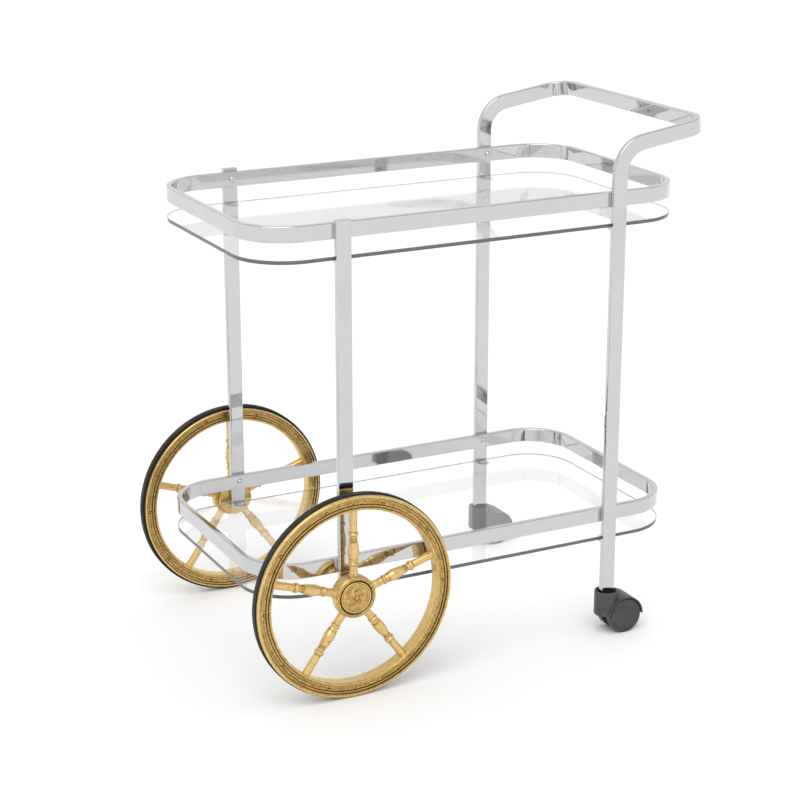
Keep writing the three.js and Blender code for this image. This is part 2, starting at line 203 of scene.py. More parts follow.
def turned(outline, steps, closed=False):
    """A shape turned about the Y axis from an outline of (radius, along) points in millimetres."""
    bm = bmesh.new()
    verts = [bm.verts.new((radius * MM, along * MM, 0)) for radius, along in outline]
    following = verts[1:] + verts[:1] if closed else verts[1:]
    edges = [bm.edges.new(pair) for pair in zip(verts, following)]
    bmesh.ops.spin(
        bm, geom=verts + edges, cent=(0, 0, 0), axis=(0, 1, 0), dvec=(0, 0, 0), angle=math.tau,
        steps=steps, use_merge=True, use_normal_flip=False, use_duplicate=False,
    )
    bmesh.ops.remove_doubles(bm, verts=bm.verts, dist=WELD)
    bmesh.ops.recalc_face_normals(bm, faces=bm.faces)
    return bm


def turned_upright(outline, steps):
    """A shape turned about Z from an outline of (radius, height) points in millimetres."""
    return moved(turned(outline, steps), Matrix.Rotation(math.pi / 2, 4, "X"))


def six_sided(bm, flats, inside=math.inf):
    """Brings what lies within a radius in to six flats, as a hexagon bar or socket has them."""
    for vert in bm.verts:
        radius = math.hypot(vert.co.x, vert.co.z)
        if radius > inside * MM or radius < WELD:
            continue
        turn = math.atan2(vert.co.z, vert.co.x) % (math.pi / 3) - math.pi / 6
        limit = flats / 2 * MM / math.cos(turn)
        if radius > limit:
            vert.co.x *= limit / radius
            vert.co.z *= limit / radius
    return bm


def glaze_between(bm, inner, outer):
    """The vertices that lie between two radii from the Y axis."""
    return {vert for vert in bm.verts if inner * MM < math.hypot(vert.co.x, vert.co.z) < outer * MM}


def mark_relief(bm, gain, glazed=()):
    """Stores how hollow (towards 1) or proud (towards 0) the surface is, for the patina in hollows, and the
    rubbed leaf with its painted highlight on crests, to follow.

    The glazed vertices count as wholly hollow. They are noted by index, because a new layer ends the old
    references to them.
    """
    bm.verts.index_update()
    dark = {vert.index for vert in glazed}
    layer = bm.verts.layers.float.new("relief")
    bm.normal_update()
    raw = {}
    for vert in bm.verts:
        around = [edge.other_vert(vert).co for edge in vert.link_edges]
        mean = sum(around, Vector()) / len(around)
        raw[vert] = 0.5 + gain * (mean - vert.co).dot(vert.normal)
    for vert in bm.verts:
        around = [raw[edge.other_vert(vert)] for edge in vert.link_edges]
        vert[layer] = 1.0 if vert.index in dark else 0.5 * raw[vert] + 0.5 * sum(around) / len(around)
    return bm


def finished(name, bm, slot, body, *stands_for):
    """A finished piece: smooth, with its material, riding on its body in place of its CAD nodes."""
    bmesh.ops.recalc_face_normals(bm, faces=bm.faces)
    for face in bm.faces:
        face.smooth = True
    mesh = bpy.data.meshes.new(name)
    bm.to_mesh(mesh)
    bm.free()
    mesh.set_sharp_from_angle(angle=SHARP_ANGLE)
    for material in MATERIALS[slot]:
        mesh.materials.append(material)
    piece = bpy.data.objects.new(name, mesh)
    bpy.context.scene.collection.objects.link(piece)
    shading = piece.modifiers.new("even_shading", "WEIGHTED_NORMAL")
    shading.keep_sharp = True
    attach(piece, body)
    if stands_for:
        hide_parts(*stands_for)
    return piece


def at_side(side, x, z=0.0):
    """Where a shape made on the right side goes."""
    turn = Matrix.Rotation(math.pi if side == "left" else 0, 4, "Z")
    return Matrix.Translation((x, 0, z)) @ turn


# ---- Bending flat tube ---------------------------------------------------------------------------


def tube_start(wide, narrow, place):
    """The ring of edges round a flat tube's section: its wide and narrow directions, and its middle."""
    corners = [
        place + wide * a * TUBE_WIDTH / 2 + narrow * b * TUBE_DEPTH / 2
        for a, b in ((-1, -1), (1, -1), (1, 1), (-1, 1))
    ]
    bm = flat_outline(corners, TUBE_ROUNDING, 4)
    bmesh.ops.delete(bm, geom=bm.faces[:], context="FACES_ONLY")
    return bm, bm.edges[:]


def run_straight(bm, ring, reach):
    """Carries a ring of edges straight on and returns it at the far end."""
    made = bmesh.ops.extrude_edge_only(bm, edges=ring)["geom"]
    verts = verts_among(made)
    bmesh.ops.translate(bm, verts=verts, vec=reach)
    return [edge for edge in edges_among(made) if all(v in verts for v in edge.verts)]


def run_round(bm, ring, middle, axis, angle):
    """Carries a ring of edges round a bend, a step every 4 degrees."""
    verts = list(dict.fromkeys(v for edge in ring for v in edge.verts))
    steps = round(abs(math.degrees(angle)) / 4)
    made = bmesh.ops.spin(
        bm, geom=verts + ring, cent=middle, axis=axis, dvec=(0, 0, 0), angle=angle, steps=steps,
        use_merge=False, use_normal_flip=False, use_duplicate=False,
    )["geom_last"]
    return edges_among(made)


def open_end(bm, ring, inward):
    """Closes a ring with the lip and the bore of a cut tube."""
    lip = bmesh.ops.edgeloop_fill(bm, edges=ring)["faces"]
    bmesh.ops.inset_region(bm, faces=lip, thickness=TUBE_WALL, use_even_offset=True)
    made = bmesh.ops.extrude_face_region(bm, geom=lip)["geom"]
    bmesh.ops.translate(bm, verts=verts_among(made), vec=inward)
    bmesh.ops.delete(bm, geom=[face for face in lip if face.is_valid], context="FACES_ONLY")


def mirrored(bm, axis):
    """Adds the mirror image across the middle plane of that axis and welds the two."""
    bmesh.ops.mirror(bm, geom=bm.verts[:] + bm.edges[:] + bm.faces[:], merge_dist=WELD, axis=axis)
    bmesh.ops.remove_doubles(bm, verts=bm.verts, dist=WELD)
    return bm


def make_handle_frame():
    """One tube from caster to caster: half of it is bent here, and mirrored at the grip's middle."""
    low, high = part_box("handle_frame")
    turn = math.pi / 2 - HANDLE_SLOPE
    along_arm = Vector((math.cos(HANDLE_SLOPE), 0, math.sin(HANDLE_SLOPE)))
    off_arm = Vector((-math.sin(HANDLE_SLOPE), 0, math.cos(HANDLE_SLOPE)))
    grip_face = high - off_arm * TUBE_WIDTH / 2
    arm_x = LEG_X + LEG_BEND_RADIUS * (1 - math.cos(turn))
    arm_length = (high.x + off_arm.x * TUBE_WIDTH / 2 - arm_x) / along_arm.x
    arm_z = grip_face.z - arm_length * along_arm.z
    bend_z = arm_z - LEG_BEND_RADIUS * math.sin(turn)
    bm, ring = tube_start(Vector((1, 0, 0)), Vector((0, 1, 0)), Vector((LEG_X, POST_MIDDLE, low.z)))
    foot = list(ring)
    ring = run_straight(bm, ring, (0, 0, bend_z - low.z))
    bend_middle = Vector((LEG_X + LEG_BEND_RADIUS, POST_MIDDLE, bend_z))
    ring = run_round(bm, ring, bend_middle, (0, 1, 0), turn)
    ring = run_straight(bm, ring, along_arm * (arm_length - GRIP_CORNER_RADIUS))
    corner = Vector((arm_x, 0, arm_z)) + along_arm * (arm_length - GRIP_CORNER_RADIUS)
    corner.y = POST_OUTER - GRIP_CORNER_RADIUS
    ring = run_round(bm, ring, corner, off_arm, -math.pi / 2)
    run_straight(bm, ring, (0, -corner.y, 0))
    open_end(bm, foot, (0, 0, BORE_DEPTH))
    finished("chrome_handle_frame", mirrored(bm, "Y"), "chrome", "cart", "handle_frame")


def make_post(side):
    """A straight post, open below, with a closed and eased top."""
    low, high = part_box(f"{side}_wheel_post")
    bm, ring = tube_start(Vector((1, 0, 0)), Vector((0, 1, 0)), Vector((0, POST_MIDDLE, low.z)))
    foot = list(ring)
    ring = run_straight(bm, ring, (0, 0, high.z - low.z))
    bmesh.ops.edgeloop_fill(bm, edges=ring)
    open_end(bm, foot, (0, 0, BORE_DEPTH))
    eased(bm, ring, 0.8 * MM, 3)
    moved(bm, at_side(side, WHEEL_CENTRE.x))
    finished(f"{side}_chrome_post", bm, "chrome", "cart", f"{side}_wheel_post")


def make_guard_rail(level):
    """A closed loop of tube on edge: one quarter is bent, and mirrored twice."""
    low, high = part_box(f"{level}_guard_rail")
    middle = (low.z + high.z) / 2
    corner = Vector((high.x - CORNER_RADIUS, CORNER_RADIUS - high.y, middle))
    start = Vector((0, TUBE_DEPTH / 2 - high.y, middle))
    bm, ring = tube_start(Vector((0, 0, 1)), Vector((0, 1, 0)), start)
    ring = run_straight(bm, ring, (corner.x, 0, 0))
    ring = run_round(bm, ring, corner, (0, 0, 1), math.pi / 2)
    run_straight(bm, ring, (0, -corner.y, 0))
    mirrored(mirrored(bm, "Y"), "X")
    finished(f"{level}_chrome_rail", bm, "chrome", "cart", f"{level}_guard_rail")


# ---- Shelves, tabs, bumpers and screws -----------------------------------------------------------


def make_glass_shelf(level):
    """A glass plate with ground and polished edges, which show the glass's green."""
    low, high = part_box(f"{level}_glass_shelf")
    corners = [(low.x, low.y, low.z), (high.x, low.y, low.z), (high.x, high.y, low.z), (low.x, high.y, low.z)]
    bm = thickened(flat_outline(corners, CORNER_RADIUS, 26), (0, 0, high.z - low.z))
    eased(bm, rim_edges(bm), 0.7 * MM, 2)
    bm.normal_update()
    for face in bm.faces:
        face.material_index = 0 if abs(face.normal.z) > 0.99 else 1
    finished(f"{level}_polished_glass", bm, "shelf_glass", "cart", f"{level}_glass_shelf")


def weld_bead(width, place):
    """A row of overlapping weld puddles along X, under a tab's root."""
    puddle = 1.1 * MM
    count = 13
    shapes = []
    for i in range(count):
        bm = bmesh.new()
        bmesh.ops.create_uvsphere(bm, u_segments=12, v_segments=8, radius=puddle)
        along = (i / (count - 1) - 0.5) * (width - 2 * puddle)
        shapes.append(moved(bm, Matrix.Translation(place + Vector((along, 0, 0)))))
    return gathered(shapes)


def make_shelf_tab(level, end, side):
    """The round-ended tab welded to a post or leg, which a shelf's bumper sits on."""
    bumper = f"{level}_glass_pad_{end}_{side}"
    middle = centre(bumper)
    half = 9 * MM
    thickness = 2.5 * MM
    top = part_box(bumper)[0].z - 0.3 * MM
    tip = abs(middle.y) - half
    root = POST_INNER + TUBE_WALL / 2
    corners = [(half, root, 0), (-half, root, 0), (-half, tip, 0), (half, tip, 0)]
    plate = thickened(flat_outline(corners, half * 0.98, 12, (2, 3)), (0, 0, thickness))
    eased(plate, rim_edges(plate), 0.5 * MM, 2)
    bead = weld_bead(2 * half, Vector((0, POST_INNER, 0)))
    bm = moved(gathered([plate, bead]), at_side(side, middle.x, top - thickness))
    finished(f"{level}_shelf_tab_{end}_{side}", bm, "chrome", "cart")


def make_bumper(level, end, side):
    """A clear silicone dot with a domed edge between a tab and the glass."""
    node = f"{level}_glass_pad_{end}_{side}"
    low, high = span(node, "z")
    radius = half_span(node, "x")
    outline = softened([(0, low), (radius, low), (radius * 0.9, high), (0, high)], 0.6, 4)
    middle = centre(node)
    bm = moved(turned_upright(outline, 32), Matrix.Translation((middle.x, middle.y, 0)))
    finished(f"{level}_clear_bumper_{end}_{side}", bm, "clear_bumper", "cart", node)


def make_rail_screw(level, end, side):
    """A dome-head screw with a hexagon socket, its head on the rail's inner face."""
    node = f"{level}_rail_screw_{end}_{side}"
    tip, back = sorted(abs(y) for y in span(node, "y"))
    radius = half_span(node, "z")
    shank = 2
    seat = tip + 2.8
    socket = 1.45
    dome = [
        (radius * math.sin(t * math.pi / 2), seat - 0.5 - (seat - 0.5 - tip) * math.cos(t * math.pi / 2))
        for t in (0.36, 0.5, 0.62, 0.74, 0.86, 1)
    ]
    outline = [(0, tip + 1.5), (socket, tip + 1.3), (socket, tip + 0.18), *dome, (radius - 0.2, seat)]
    outline += [(shank, seat), (shank, back - 0.6), (shank - 0.6, back), (0, back)]
    bm = six_sided(turned(outline, 24), 2.5, inside=1.5)
    moved(bm, at_side(side, centre(node).x, centre(node).z))
    finished(f"{level}_dome_screw_{end}_{side}", bm, "bright_steel", "cart", node)


# ---- Large wheels --------------------------------------------------------------------------------


def place_wheel(bm, side):
    return moved(bm, at_side(side, WHEEL_CENTRE.x, WHEEL_CENTRE.z))


def make_tyre(side):
    """A thin rubber band with a low crown and two moulding lines."""
    back, front = span("right_tyre", "y")
    middle = (back + front) / 2
    seat = RIM_SEAT + 0.3
    line = 0.35
    band = [(seat, back), (WHEEL_RADIUS, back), (WHEEL_RADIUS, front), (seat, front)]
    outline = softened(band, 0.9, 4, True)
    lines = [
        (WHEEL_RADIUS - depth, middle + offset + shift)
        for offset in (-3, 3)
        for shift, depth in ((-line, 0), (0, line), (line, 0))
    ]
    tread_start = len(outline) // 2  # the middle of the crown, between its two rounded corners
    outline[tread_start:tread_start] = lines
    bm = turned(outline, 144, closed=True)
    finished(f"{side}_rubber_tyre", place_wheel(bm, side), "wheel_rubber", f"{side}_wheel", f"{side}_tyre")


def stepped_face(face, inward):
    """(radius, y) across one face of the rim: down two steps from its inner bead and up two again."""
    high, fillet, low = face + 0.3 * inward, face + 1.8 * inward, face + 3.1 * inward
    near, far = 0.4, 0.75  # how far from a step the points that keep its glaze narrow lie
    points = [(RIM_INNER + 0.7, face + 0.8 * inward), (RIM_INNER + 2.2, face + 0.1 * inward)]
    levels = (high, fillet, low, fillet, high)
    for radius, before, after in zip(RIM_STEPS, levels, levels[1:]):
        points += [(radius - reach, before) for reach in (far, near, RISER)]
        points += [(radius + reach, after) for reach in (RISER, near, far)]
    return points


def make_rim(side):
    """A turned rim, alike on both faces, with a seat for the tyre behind its outer bead."""
    back, front = span("right_rim", "y")
    bead = half_span("right_rim", "z")
    outline = [
        (RIM_INNER, back + 2.4),
        (RIM_INNER, front - 2.4),
        *stepped_face(front, -1),
        (bead - 2.6, front),
        (bead - 0.8, front - 0.4),
        (bead, front - 1.6),
        (bead, front - 4.8),
        (RIM_SEAT, front - 4.8),
        (RIM_SEAT, back + 1),
        (RIM_SEAT - 0.8, back),
        *reversed(stepped_face(back, 1)),
    ]
    easing = 0.1
    bm = turned(softened(outline, easing, 1, True), 160, closed=True)
    glazed_reach = RISER + 1.6 * easing
    glaze = set()
    for step in RIM_STEPS:
        glaze |= glaze_between(bm, step - glazed_reach, step + glazed_reach)
    # a high gain, so that the corners of the beads and steps get the crest colour: rubbed leaf with a painted
    # highlight
    mark_relief(place_wheel(bm, side), gain=2600, glazed=glaze)
    finished(f"{side}_gilt_rim", bm, "antique_gold", f"{side}_wheel", f"{side}_rim")


def make_nails(side):
    """Dome nails in the low band of each face of the rim, each in a sunk and glazed ring."""
    middle = centre("right_rim").y
    seat = half_span("right_rim", "y") - 2.9
    dome, ring = 1.35, 2.6
    outline = [
        (0, seat - 2), (ring + 0.4, seat - 2), (ring + 0.4, seat + 0.5), (ring, seat + 0.6),
        (ring - 0.2, seat + 0.2), (dome + 0.1, seat + 0.2), (dome, seat + 0.9), (dome - 0.3, seat + 1.4),
        (0.5, seat + 1.7), (0, seat + 1.8),
    ]
    shapes = []
    for i in range(NAILS):
        angle = math.tau * (i + 0.5) / NAILS
        place = Vector((math.sin(angle), 0, math.cos(angle))) * NAIL_CIRCLE * MM
        place.y = middle
        for facing in (0, math.pi):
            turn = Matrix.Rotation(facing, 4, "X")
            shapes.append(moved(turned(outline, 20), Matrix.Translation(place) @ turn))
    bm = gathered(shapes)
    glaze = set()
    for vert in bm.verts:
        i = round(math.atan2(vert.co.x, vert.co.z) / math.tau * NAILS - 0.5)
        angle = math.tau * (i + 0.5) / NAILS
        from_nail_x = vert.co.x - NAIL_CIRCLE * MM * math.sin(angle)
        from_nail_z = vert.co.z - NAIL_CIRCLE * MM * math.cos(angle)
        if (dome - 0.05) * MM < math.hypot(from_nail_x, from_nail_z) < (ring + 0.05) * MM:
            glaze.add(vert)
    mark_relief(place_wheel(bm, side), gain=3000, glazed=glaze)
    finished(f"{side}_rim_nails", bm, "antique_gold", f"{side}_wheel")


def swelling(keys, steps):
    """Points that ease from one (radius, along) key to the next, as a turner's beads and coves do."""
    points = [keys[0]]
    for (r0, a0), (r1, a1) in zip(keys, keys[1:]):
        for step in range(1, steps + 1):
            t = step / steps
            points.append((r0 + (r1 - r0) * (1 - math.cos(math.pi * t)) / 2, a0 + (a1 - a0) * t))
    return points


def make_spoke(side, number):
    """A turned baluster: neck, collar, long vase, ring and slim shaft, with a tenon at each end."""
    node = f"{side}_spoke_{number}"
    shoulder = HUB_RADIUS - 0.6
    end = RIM_INNER + 0.4
    tenon = 3.5
    body = swelling(
        [
            (5.7, shoulder), (5.3, 40), (5.3, 43.4), (6.8, 45.2), (6.8, 46.4), (5.6, 48), (6, 50.5),
            (7.7, 60.8), (7.1, 67), (5, 82), (5.2, 84), (6.9, 86), (6.9, 88.2), (5.1, 90.2), (5.3, 95),
            (5.5, end),
        ],
        5,
    )
    outline = [
        (0, shoulder - 6), (tenon, shoulder - 6), (tenon, shoulder), *body, (tenon, end), (tenon, end + 5),
        (0, end + 5),
    ]
    out = centre(node) - WHEEL_CENTRE
    turn = Matrix.Rotation(math.atan2(out.x, out.z), 4, "Y")
    plane = SPOKE_PLANE * MM * (1 if side == "right" else -1)
    place = Matrix.Translation((WHEEL_CENTRE.x, plane, WHEEL_CENTRE.z))
    bm = moved(turned_upright(outline, 32), place @ turn)
    mark_relief(bm, gain=3400)
    finished(f"{side}_turned_spoke_{number}", bm, "antique_gold", f"{side}_wheel", node)


def make_hub(side):
    """A barrel with a broad flange, a pocket for the lock nut and a seat for the cap."""
    back, front = span("right_hub", "y")
    pocket_floor = back + 16
    cap_floor = span("right_hub_cap", "y")[0] - 0.3
    outline = [
        (HUB_BORE, back), (HUB_BARREL - 1.5, back), (HUB_BARREL, back + 1.5), (HUB_BARREL, back + 10.5),
        (HUB_BARREL + 1.5, back + 12), (HUB_RADIUS - 1, back + 12), (HUB_RADIUS, back + 13),
        (HUB_RADIUS, front - 3.2), (HUB_RADIUS - 0.5, front - 2.6), (HUB_RADIUS - 0.5, front - 1.4),
        (HUB_RADIUS - 1.5, front - 0.4), (HUB_RADIUS - 3, front), (CAP_SEAT + 1.2, front),
        (CAP_SEAT + 0.5, front - 1.2), (CAP_SEAT, front - 1.9), (CAP_SEAT, cap_floor),
        (HUB_POCKET, cap_floor), (HUB_POCKET, pocket_floor), (HUB_BORE, pocket_floor),
    ]
    bm = turned(softened(outline, 0.6, 3, True), 96, closed=True)
    around_cap = glaze_between(bm, CAP_SEAT - 0.5, CAP_SEAT + 0.55)
    glaze = {vert for vert in around_cap if vert.co.y > cap_floor * MM}
    mark_relief(place_wheel(bm, side), gain=3000, glazed=glaze)
    finished(f"{side}_gilt_hub", bm, "antique_gold", f"{side}_wheel", f"{side}_hub")


def make_hub_cap(side):
    """A low domed cap with a raised border and a plain swirl of five leaves."""
    back, tip = span("right_hub_cap", "y")
    radius = half_span("right_hub_cap", "z")
    border = 0.84
    rings = 26
    outline = [
        (0, back), (radius, back), (radius, tip - 4.3), (radius - 0.5, tip - 4.1), (radius - 0.8, tip - 2.9),
        (radius - 1.4, tip - 2.3), (radius - 2.2, tip - 2.3), (radius - 2.8, tip - 2.7),
        (radius - 3.2, tip - 3.2),
    ]
    for i in range(rings, -1, -1):
        share = i / rings
        outline.append((radius * border * share, tip - 0.8 - 1.9 * share**2))
    bm = turned(outline, 120)
    for vert in bm.verts:
        share = math.hypot(vert.co.x, vert.co.z) / (radius * border * MM)
        if share < 1 and vert.co.y > (tip - 4) * MM:
            angle = math.atan2(vert.co.x, vert.co.z)
            leaf = math.cos(5 * angle + 6 * share) * math.sin(math.pi * share) ** 0.7
            boss = max(0.0, 1 - (share / 0.18) ** 2)
            vert.co.y += (0.75 * leaf + 0.7 * boss) * MM
    glaze = glaze_between(bm, radius - 0.7, radius + 0.1)
    mark_relief(place_wheel(bm, side), gain=5000, glazed=glaze)
    finished(f"{side}_swirl_cap", bm, "antique_gold", f"{side}_wheel", f"{side}_hub_cap")


def axle_bore():
    """The radius of the hole in what sits on a stub axle."""
    return half_span("right_stub_axle", "z") + 0.3


def make_stub_axle(side):
    """The stub axle, with a thread for its nut."""
    inner, outer = span("right_stub_axle", "y")
    radius = half_span("right_stub_axle", "z")
    pitch, crests = 0.8, 8
    thread = [(radius - (0.35 if i % 2 else 0), outer - 7 + i * pitch / 2) for i in range(2 * crests + 1)]
    outline = [
        (0, inner), (radius - 0.4, inner), (radius, inner + 0.4), *thread, (radius - 0.9, outer), (0, outer),
    ]
    bm = place_wheel(turned(outline, 32), side)
    finished(f"{side}_axle_stub", bm, "bright_steel", "cart", f"{side}_stub_axle")


def make_thrust_washer(side):
    """The washer between the post and the hub."""
    inner, outer = span("right_axle_washer", "y")
    rim = half_span("right_axle_washer", "z")
    bore = axle_bore()
    outline = softened([(bore, inner), (rim, inner), (rim, outer), (bore, outer)], 0.3, 2, True)
    bm = place_wheel(turned(outline, 48, closed=True), side)
    finished(f"{side}_thrust_washer", bm, "bright_steel", "cart", f"{side}_axle_washer")


def make_lock_nut(side):
    """The self-locking nut in the hub's pocket, with its raised collar."""
    inner, outer = span("right_lock_nut", "y")
    corner = half_span("right_lock_nut", "z")
    bore = axle_bore()
    outline = [
        (bore, inner), (corner - 1, inner), (corner, inner + 0.5), (corner, outer - 1.8),
        (corner - 1, outer - 1.3), (corner - 1.6, outer - 1.2), (corner - 1.8, outer - 0.3),
        (corner - 2.4, outer), (bore, outer),
    ]
    bm = place_wheel(six_sided(turned(outline, 48, closed=True), corner * math.sqrt(3)), side)
    finished(f"{side}_self_locking_nut", bm, "bright_steel", "cart", f"{side}_lock_nut")


# ---- Casters -------------------------------------------------------------------------------------


def stem_middle(side):
    return centre(f"{side}_caster_stem")


def about_roller_axle(bm, side):
    return moved(bm, Matrix.Translation((CASTER_AXLE.x, stem_middle(side).y, CASTER_AXLE.z)))


def about_stem(bm, side):
    middle = stem_middle(side)
    return moved(bm, Matrix.Translation((middle.x, middle.y, 0)))


def as_object(bm):
    mesh = bpy.data.meshes.new("tool")
    bm.to_mesh(mesh)
    bm.free()
    tool = bpy.data.objects.new("tool", mesh)
    bpy.context.scene.collection.objects.link(tool)
    return tool


def carved(bm, steps):
    """The shape after each (operation, tool shape) of a list is carried out on it."""
    body = as_object(bm)
    tools = []
    for operation, tool in steps:
        tools.append(as_object(tool))
        modifier = body.modifiers.new(operation.lower(), "BOOLEAN")
        modifier.operation = operation
        modifier.solver = "EXACT"
        modifier.object = tools[-1]
    evaluated = body.evaluated_get(bpy.context.evaluated_depsgraph_get())
    result = bmesh.new()
    result.from_mesh(evaluated.to_mesh())
    evaluated.to_mesh_clear()
    for each in [body, *tools]:
        mesh = each.data
        bpy.data.objects.remove(each)
        bpy.data.meshes.remove(mesh)
    return result


def make_caster_body(side):
    """The moulded body: a hood over both wheels, the web between them and the cup for the leg."""
    node = f"{side}_caster_body"
    half_width = half_span(node, "y")
    hood = span(node, "x")[1] - CASTER_AXLE.x / MM
    top = span(node, "z")[1]
    drum = softened([(0, -half_width), (hood, -half_width), (hood, half_width), (0, half_width)], 1.2, 3)
    shell = turned(drum, 96)
    below = bmesh.new()
    bmesh.ops.create_cube(below, size=4 * hood * MM)
    moved(below, Matrix.Translation((0, 0, -2 * hood * MM)))
    mouth = half_width - 1.8
    room = [
        (0, CASTER_WEB), (ROLLER_ROOM, CASTER_WEB), (ROLLER_ROOM, mouth), (hood - 0.7, half_width + 0.1),
        (hood - 0.7, half_width + 5), (0, half_width + 5),
    ]
    rooms = [[(radius, facing * y) for radius, y in room] for facing in (-1, 1)]
    disc = [(0, -CASTER_WEB), (WEB_RADIUS, -CASTER_WEB), (WEB_RADIUS, CASTER_WEB), (0, CASTER_WEB)]
    web = turned(softened(disc, 0.6, 2), 64)
    barrel = [(0, CUP_BOTTOM), (CUP_RADIUS, CUP_BOTTOM), (CUP_RADIUS, top), (0, top)]
    cup = turned_upright(softened(barrel, 1.2, 3), 72)
    recess = turned_upright(
        [(0, CUP_FLOOR), (CUP_RECESS, CUP_FLOOR), (CUP_RECESS + 0.4, top + 1), (0, top + 1)], 72
    )
    pin_room, pin_end = PIN_RADIUS + 0.3, CUP_BOTTOM + 3.5
    pin_hole = turned_upright([(0, pin_end), (pin_room, pin_end), (pin_room, top), (0, top)], 32)
    steps = [
        ("DIFFERENCE", about_roller_axle(below, side)),
        ("UNION", about_roller_axle(web, side)),
        ("UNION", about_stem(cup, side)),
        *(("DIFFERENCE", about_roller_axle(turned(room, 96), side)) for room in rooms),
        ("DIFFERENCE", about_stem(recess, side)),
        ("DIFFERENCE", about_stem(pin_hole, side)),
    ]
    bm = carved(about_roller_axle(shell, side), steps)
    piece = finished(f"{side}_caster_hood", bm, "caster_plastic", f"{side}_swivel", node)
    rounding = piece.modifiers.new("moulded_edges", "BEVEL")
    rounding.width = 0.45 * MM
    rounding.segments = 2
    rounding.limit_method = "ANGLE"
    rounding.angle_limit = math.radians(50)
    piece.modifiers.move(1, 0)


def make_roller(side, which):
    """One caster wheel: a lightly domed disc inside a raised border, a step and a flat tread."""
    node = f"{side}_caster_wheel_{which}"
    radius = half_span(node, "z")
    width = 2 * half_span(node, "y")
    bore = 2.8
    outline = [
        (0, width - 2.6), (bore, width - 2.6), (bore, 0), (7, 0), (7, 1.2), (radius - 5, 1.2), (radius - 4, 0),
        (radius - 1, 0), (radius, 0.9), (radius, width - 1.9), (radius - 1.4, width - 0.5),
        (radius - 2.8, width - 0.1), (radius - 3.5, width - 0.5), (radius - 4.1, width - 0.5),
        (radius - 5.2, width - 0.25), (8, width), (0, width),
    ]
    bm = turned(softened(outline, 0.5, 3), 96)
    faces_out = 1 if centre(node).y > stem_middle(side).y else -1
    turn = Matrix.Rotation(0 if faces_out > 0 else math.pi, 4, "Z")
    start = Vector((CASTER_AXLE.x, centre(node).y - faces_out * width / 2 * MM, CASTER_AXLE.z))
    moved(bm, Matrix.Translation(start) @ turn)
    finished(f"{side}_caster_roller_{which}", bm, "caster_tread", f"{side}_roller_{which}", node)


def make_swivel_pin(side):
    """The swivel pin, its collar, and the tongue that fills the leg's open end."""
    node = f"{side}_caster_stem"
    low, high = span(node, "z")
    collar_low, collar_high = CUP_FLOOR + 0.3, span("handle_frame", "z")[0] - 0.3
    pin = [
        (0, low), (PIN_RADIUS - 0.6, low), (PIN_RADIUS, low + 0.6), (PIN_RADIUS, collar_low),
        (COLLAR_RADIUS - 0.5, collar_low), (COLLAR_RADIUS, collar_low + 0.5),
        (COLLAR_RADIUS, collar_high - 0.5), (COLLAR_RADIUS - 0.5, collar_high), (0, collar_high),
    ]
    gap = 0.3 * MM
    x = TUBE_WIDTH / 2 - TUBE_WALL - gap
    y = TUBE_DEPTH / 2 - TUBE_WALL - gap
    corners = [(-x, -y, 0), (x, -y, 0), (x, y, 0), (-x, y, 0)]
    root = collar_high - 1
    tongue = thickened(flat_outline(corners, 0.8 * MM, 3), (0, 0, (high - root) * MM))
    moved(tongue, Matrix.Translation((0, 0, root * MM)))
    bm = about_stem(gathered([turned_upright(pin, 40), tongue]), side)
    finished(f"{side}_swivel_pin", bm, "bright_steel", "cart", node)


def make_roller_pin(side):
    """The axle that both rollers turn on."""
    node = f"{side}_caster_axle"
    radius = half_span(node, "z")
    half = half_span(node, "y")
    bar = softened([(0, -half), (radius, -half), (radius, half), (0, half)], 0.5, 3)
    bm = about_roller_axle(turned(bar, 32), side)
    finished(f"{side}_roller_pin", bm, "bright_steel", f"{side}_swivel", node)


# ---- Materials -----------------------------------------------------------------------------------


class Nodes:
    """A node tree with short ways to add a node, and to chain numbers through Math and Map Range."""

    def __init__(self, tree):
        self.tree = tree

    def add(self, kind, settings=None, **inputs):
        node = self.tree.nodes.new(kind)
        for key, value in (settings or {}).items():
            setattr(node, key, value)
        for key, value in inputs.items():
            self.put(node.inputs[key.replace("_", " ")], value)
        return node

    def put(self, socket, value):
        if isinstance(value, bpy.types.NodeSocket):
            self.tree.links.new(value, socket)
        else:
            socket.default_value = value

    def noise(self, place, scale, detail=3.0, roughness=0.5):
        node = self.add("ShaderNodeTexNoise", Vector=place, Scale=scale, Detail=detail, Roughness=roughness)
        return node.outputs["Fac"]

    def math(self, operation, first, second=0.0):
        node = self.add("ShaderNodeMath", {"operation": operation})
        self.put(node.inputs[0], first)
        self.put(node.inputs[1], second)
        return node.outputs[0]

    def ranged(self, value, low, high, to_low=0.0, to_high=1.0):
        node = self.add("ShaderNodeMapRange", {"interpolation_type": "SMOOTHSTEP"}, Value=value)
        for key, number in zip(("From Min", "From Max", "To Min", "To Max"), (low, high, to_low, to_high)):
            self.put(node.inputs[key], number)
        return node.outputs["Result"]

    def mixed(self, share, first, second):
        node = self.add("ShaderNodeMix", {"data_type": "RGBA"})
        self.put(node.inputs[0], share)
        self.put(node.inputs[6], first)
        self.put(node.inputs[7], second)
        return node.outputs[2]


def group(name, inputs, outputs, fill):
    """A shader node group with named sockets; fill wires it from its inputs and returns its outputs."""
    tree = bpy.data.node_groups.new(name, "ShaderNodeTree")
    for label, kind, value in inputs:
        socket = tree.interface.new_socket(label, in_out="INPUT", socket_type=kind)
        if value is not None:
            socket.default_value = value
    for label, kind in outputs:
        tree.interface.new_socket(label, in_out="OUTPUT", socket_type=kind)
    nodes = Nodes(tree)
    given = tree.nodes.new("NodeGroupInput").outputs
    results = fill(nodes, given)
    out = tree.nodes.new("NodeGroupOutput")
    for label, value in results.items():
        nodes.put(out.inputs[label], value)
    return tree


COLOUR, NUMBER, VECTOR = "NodeSocketColor", "NodeSocketFloat", "NodeSocketVector"


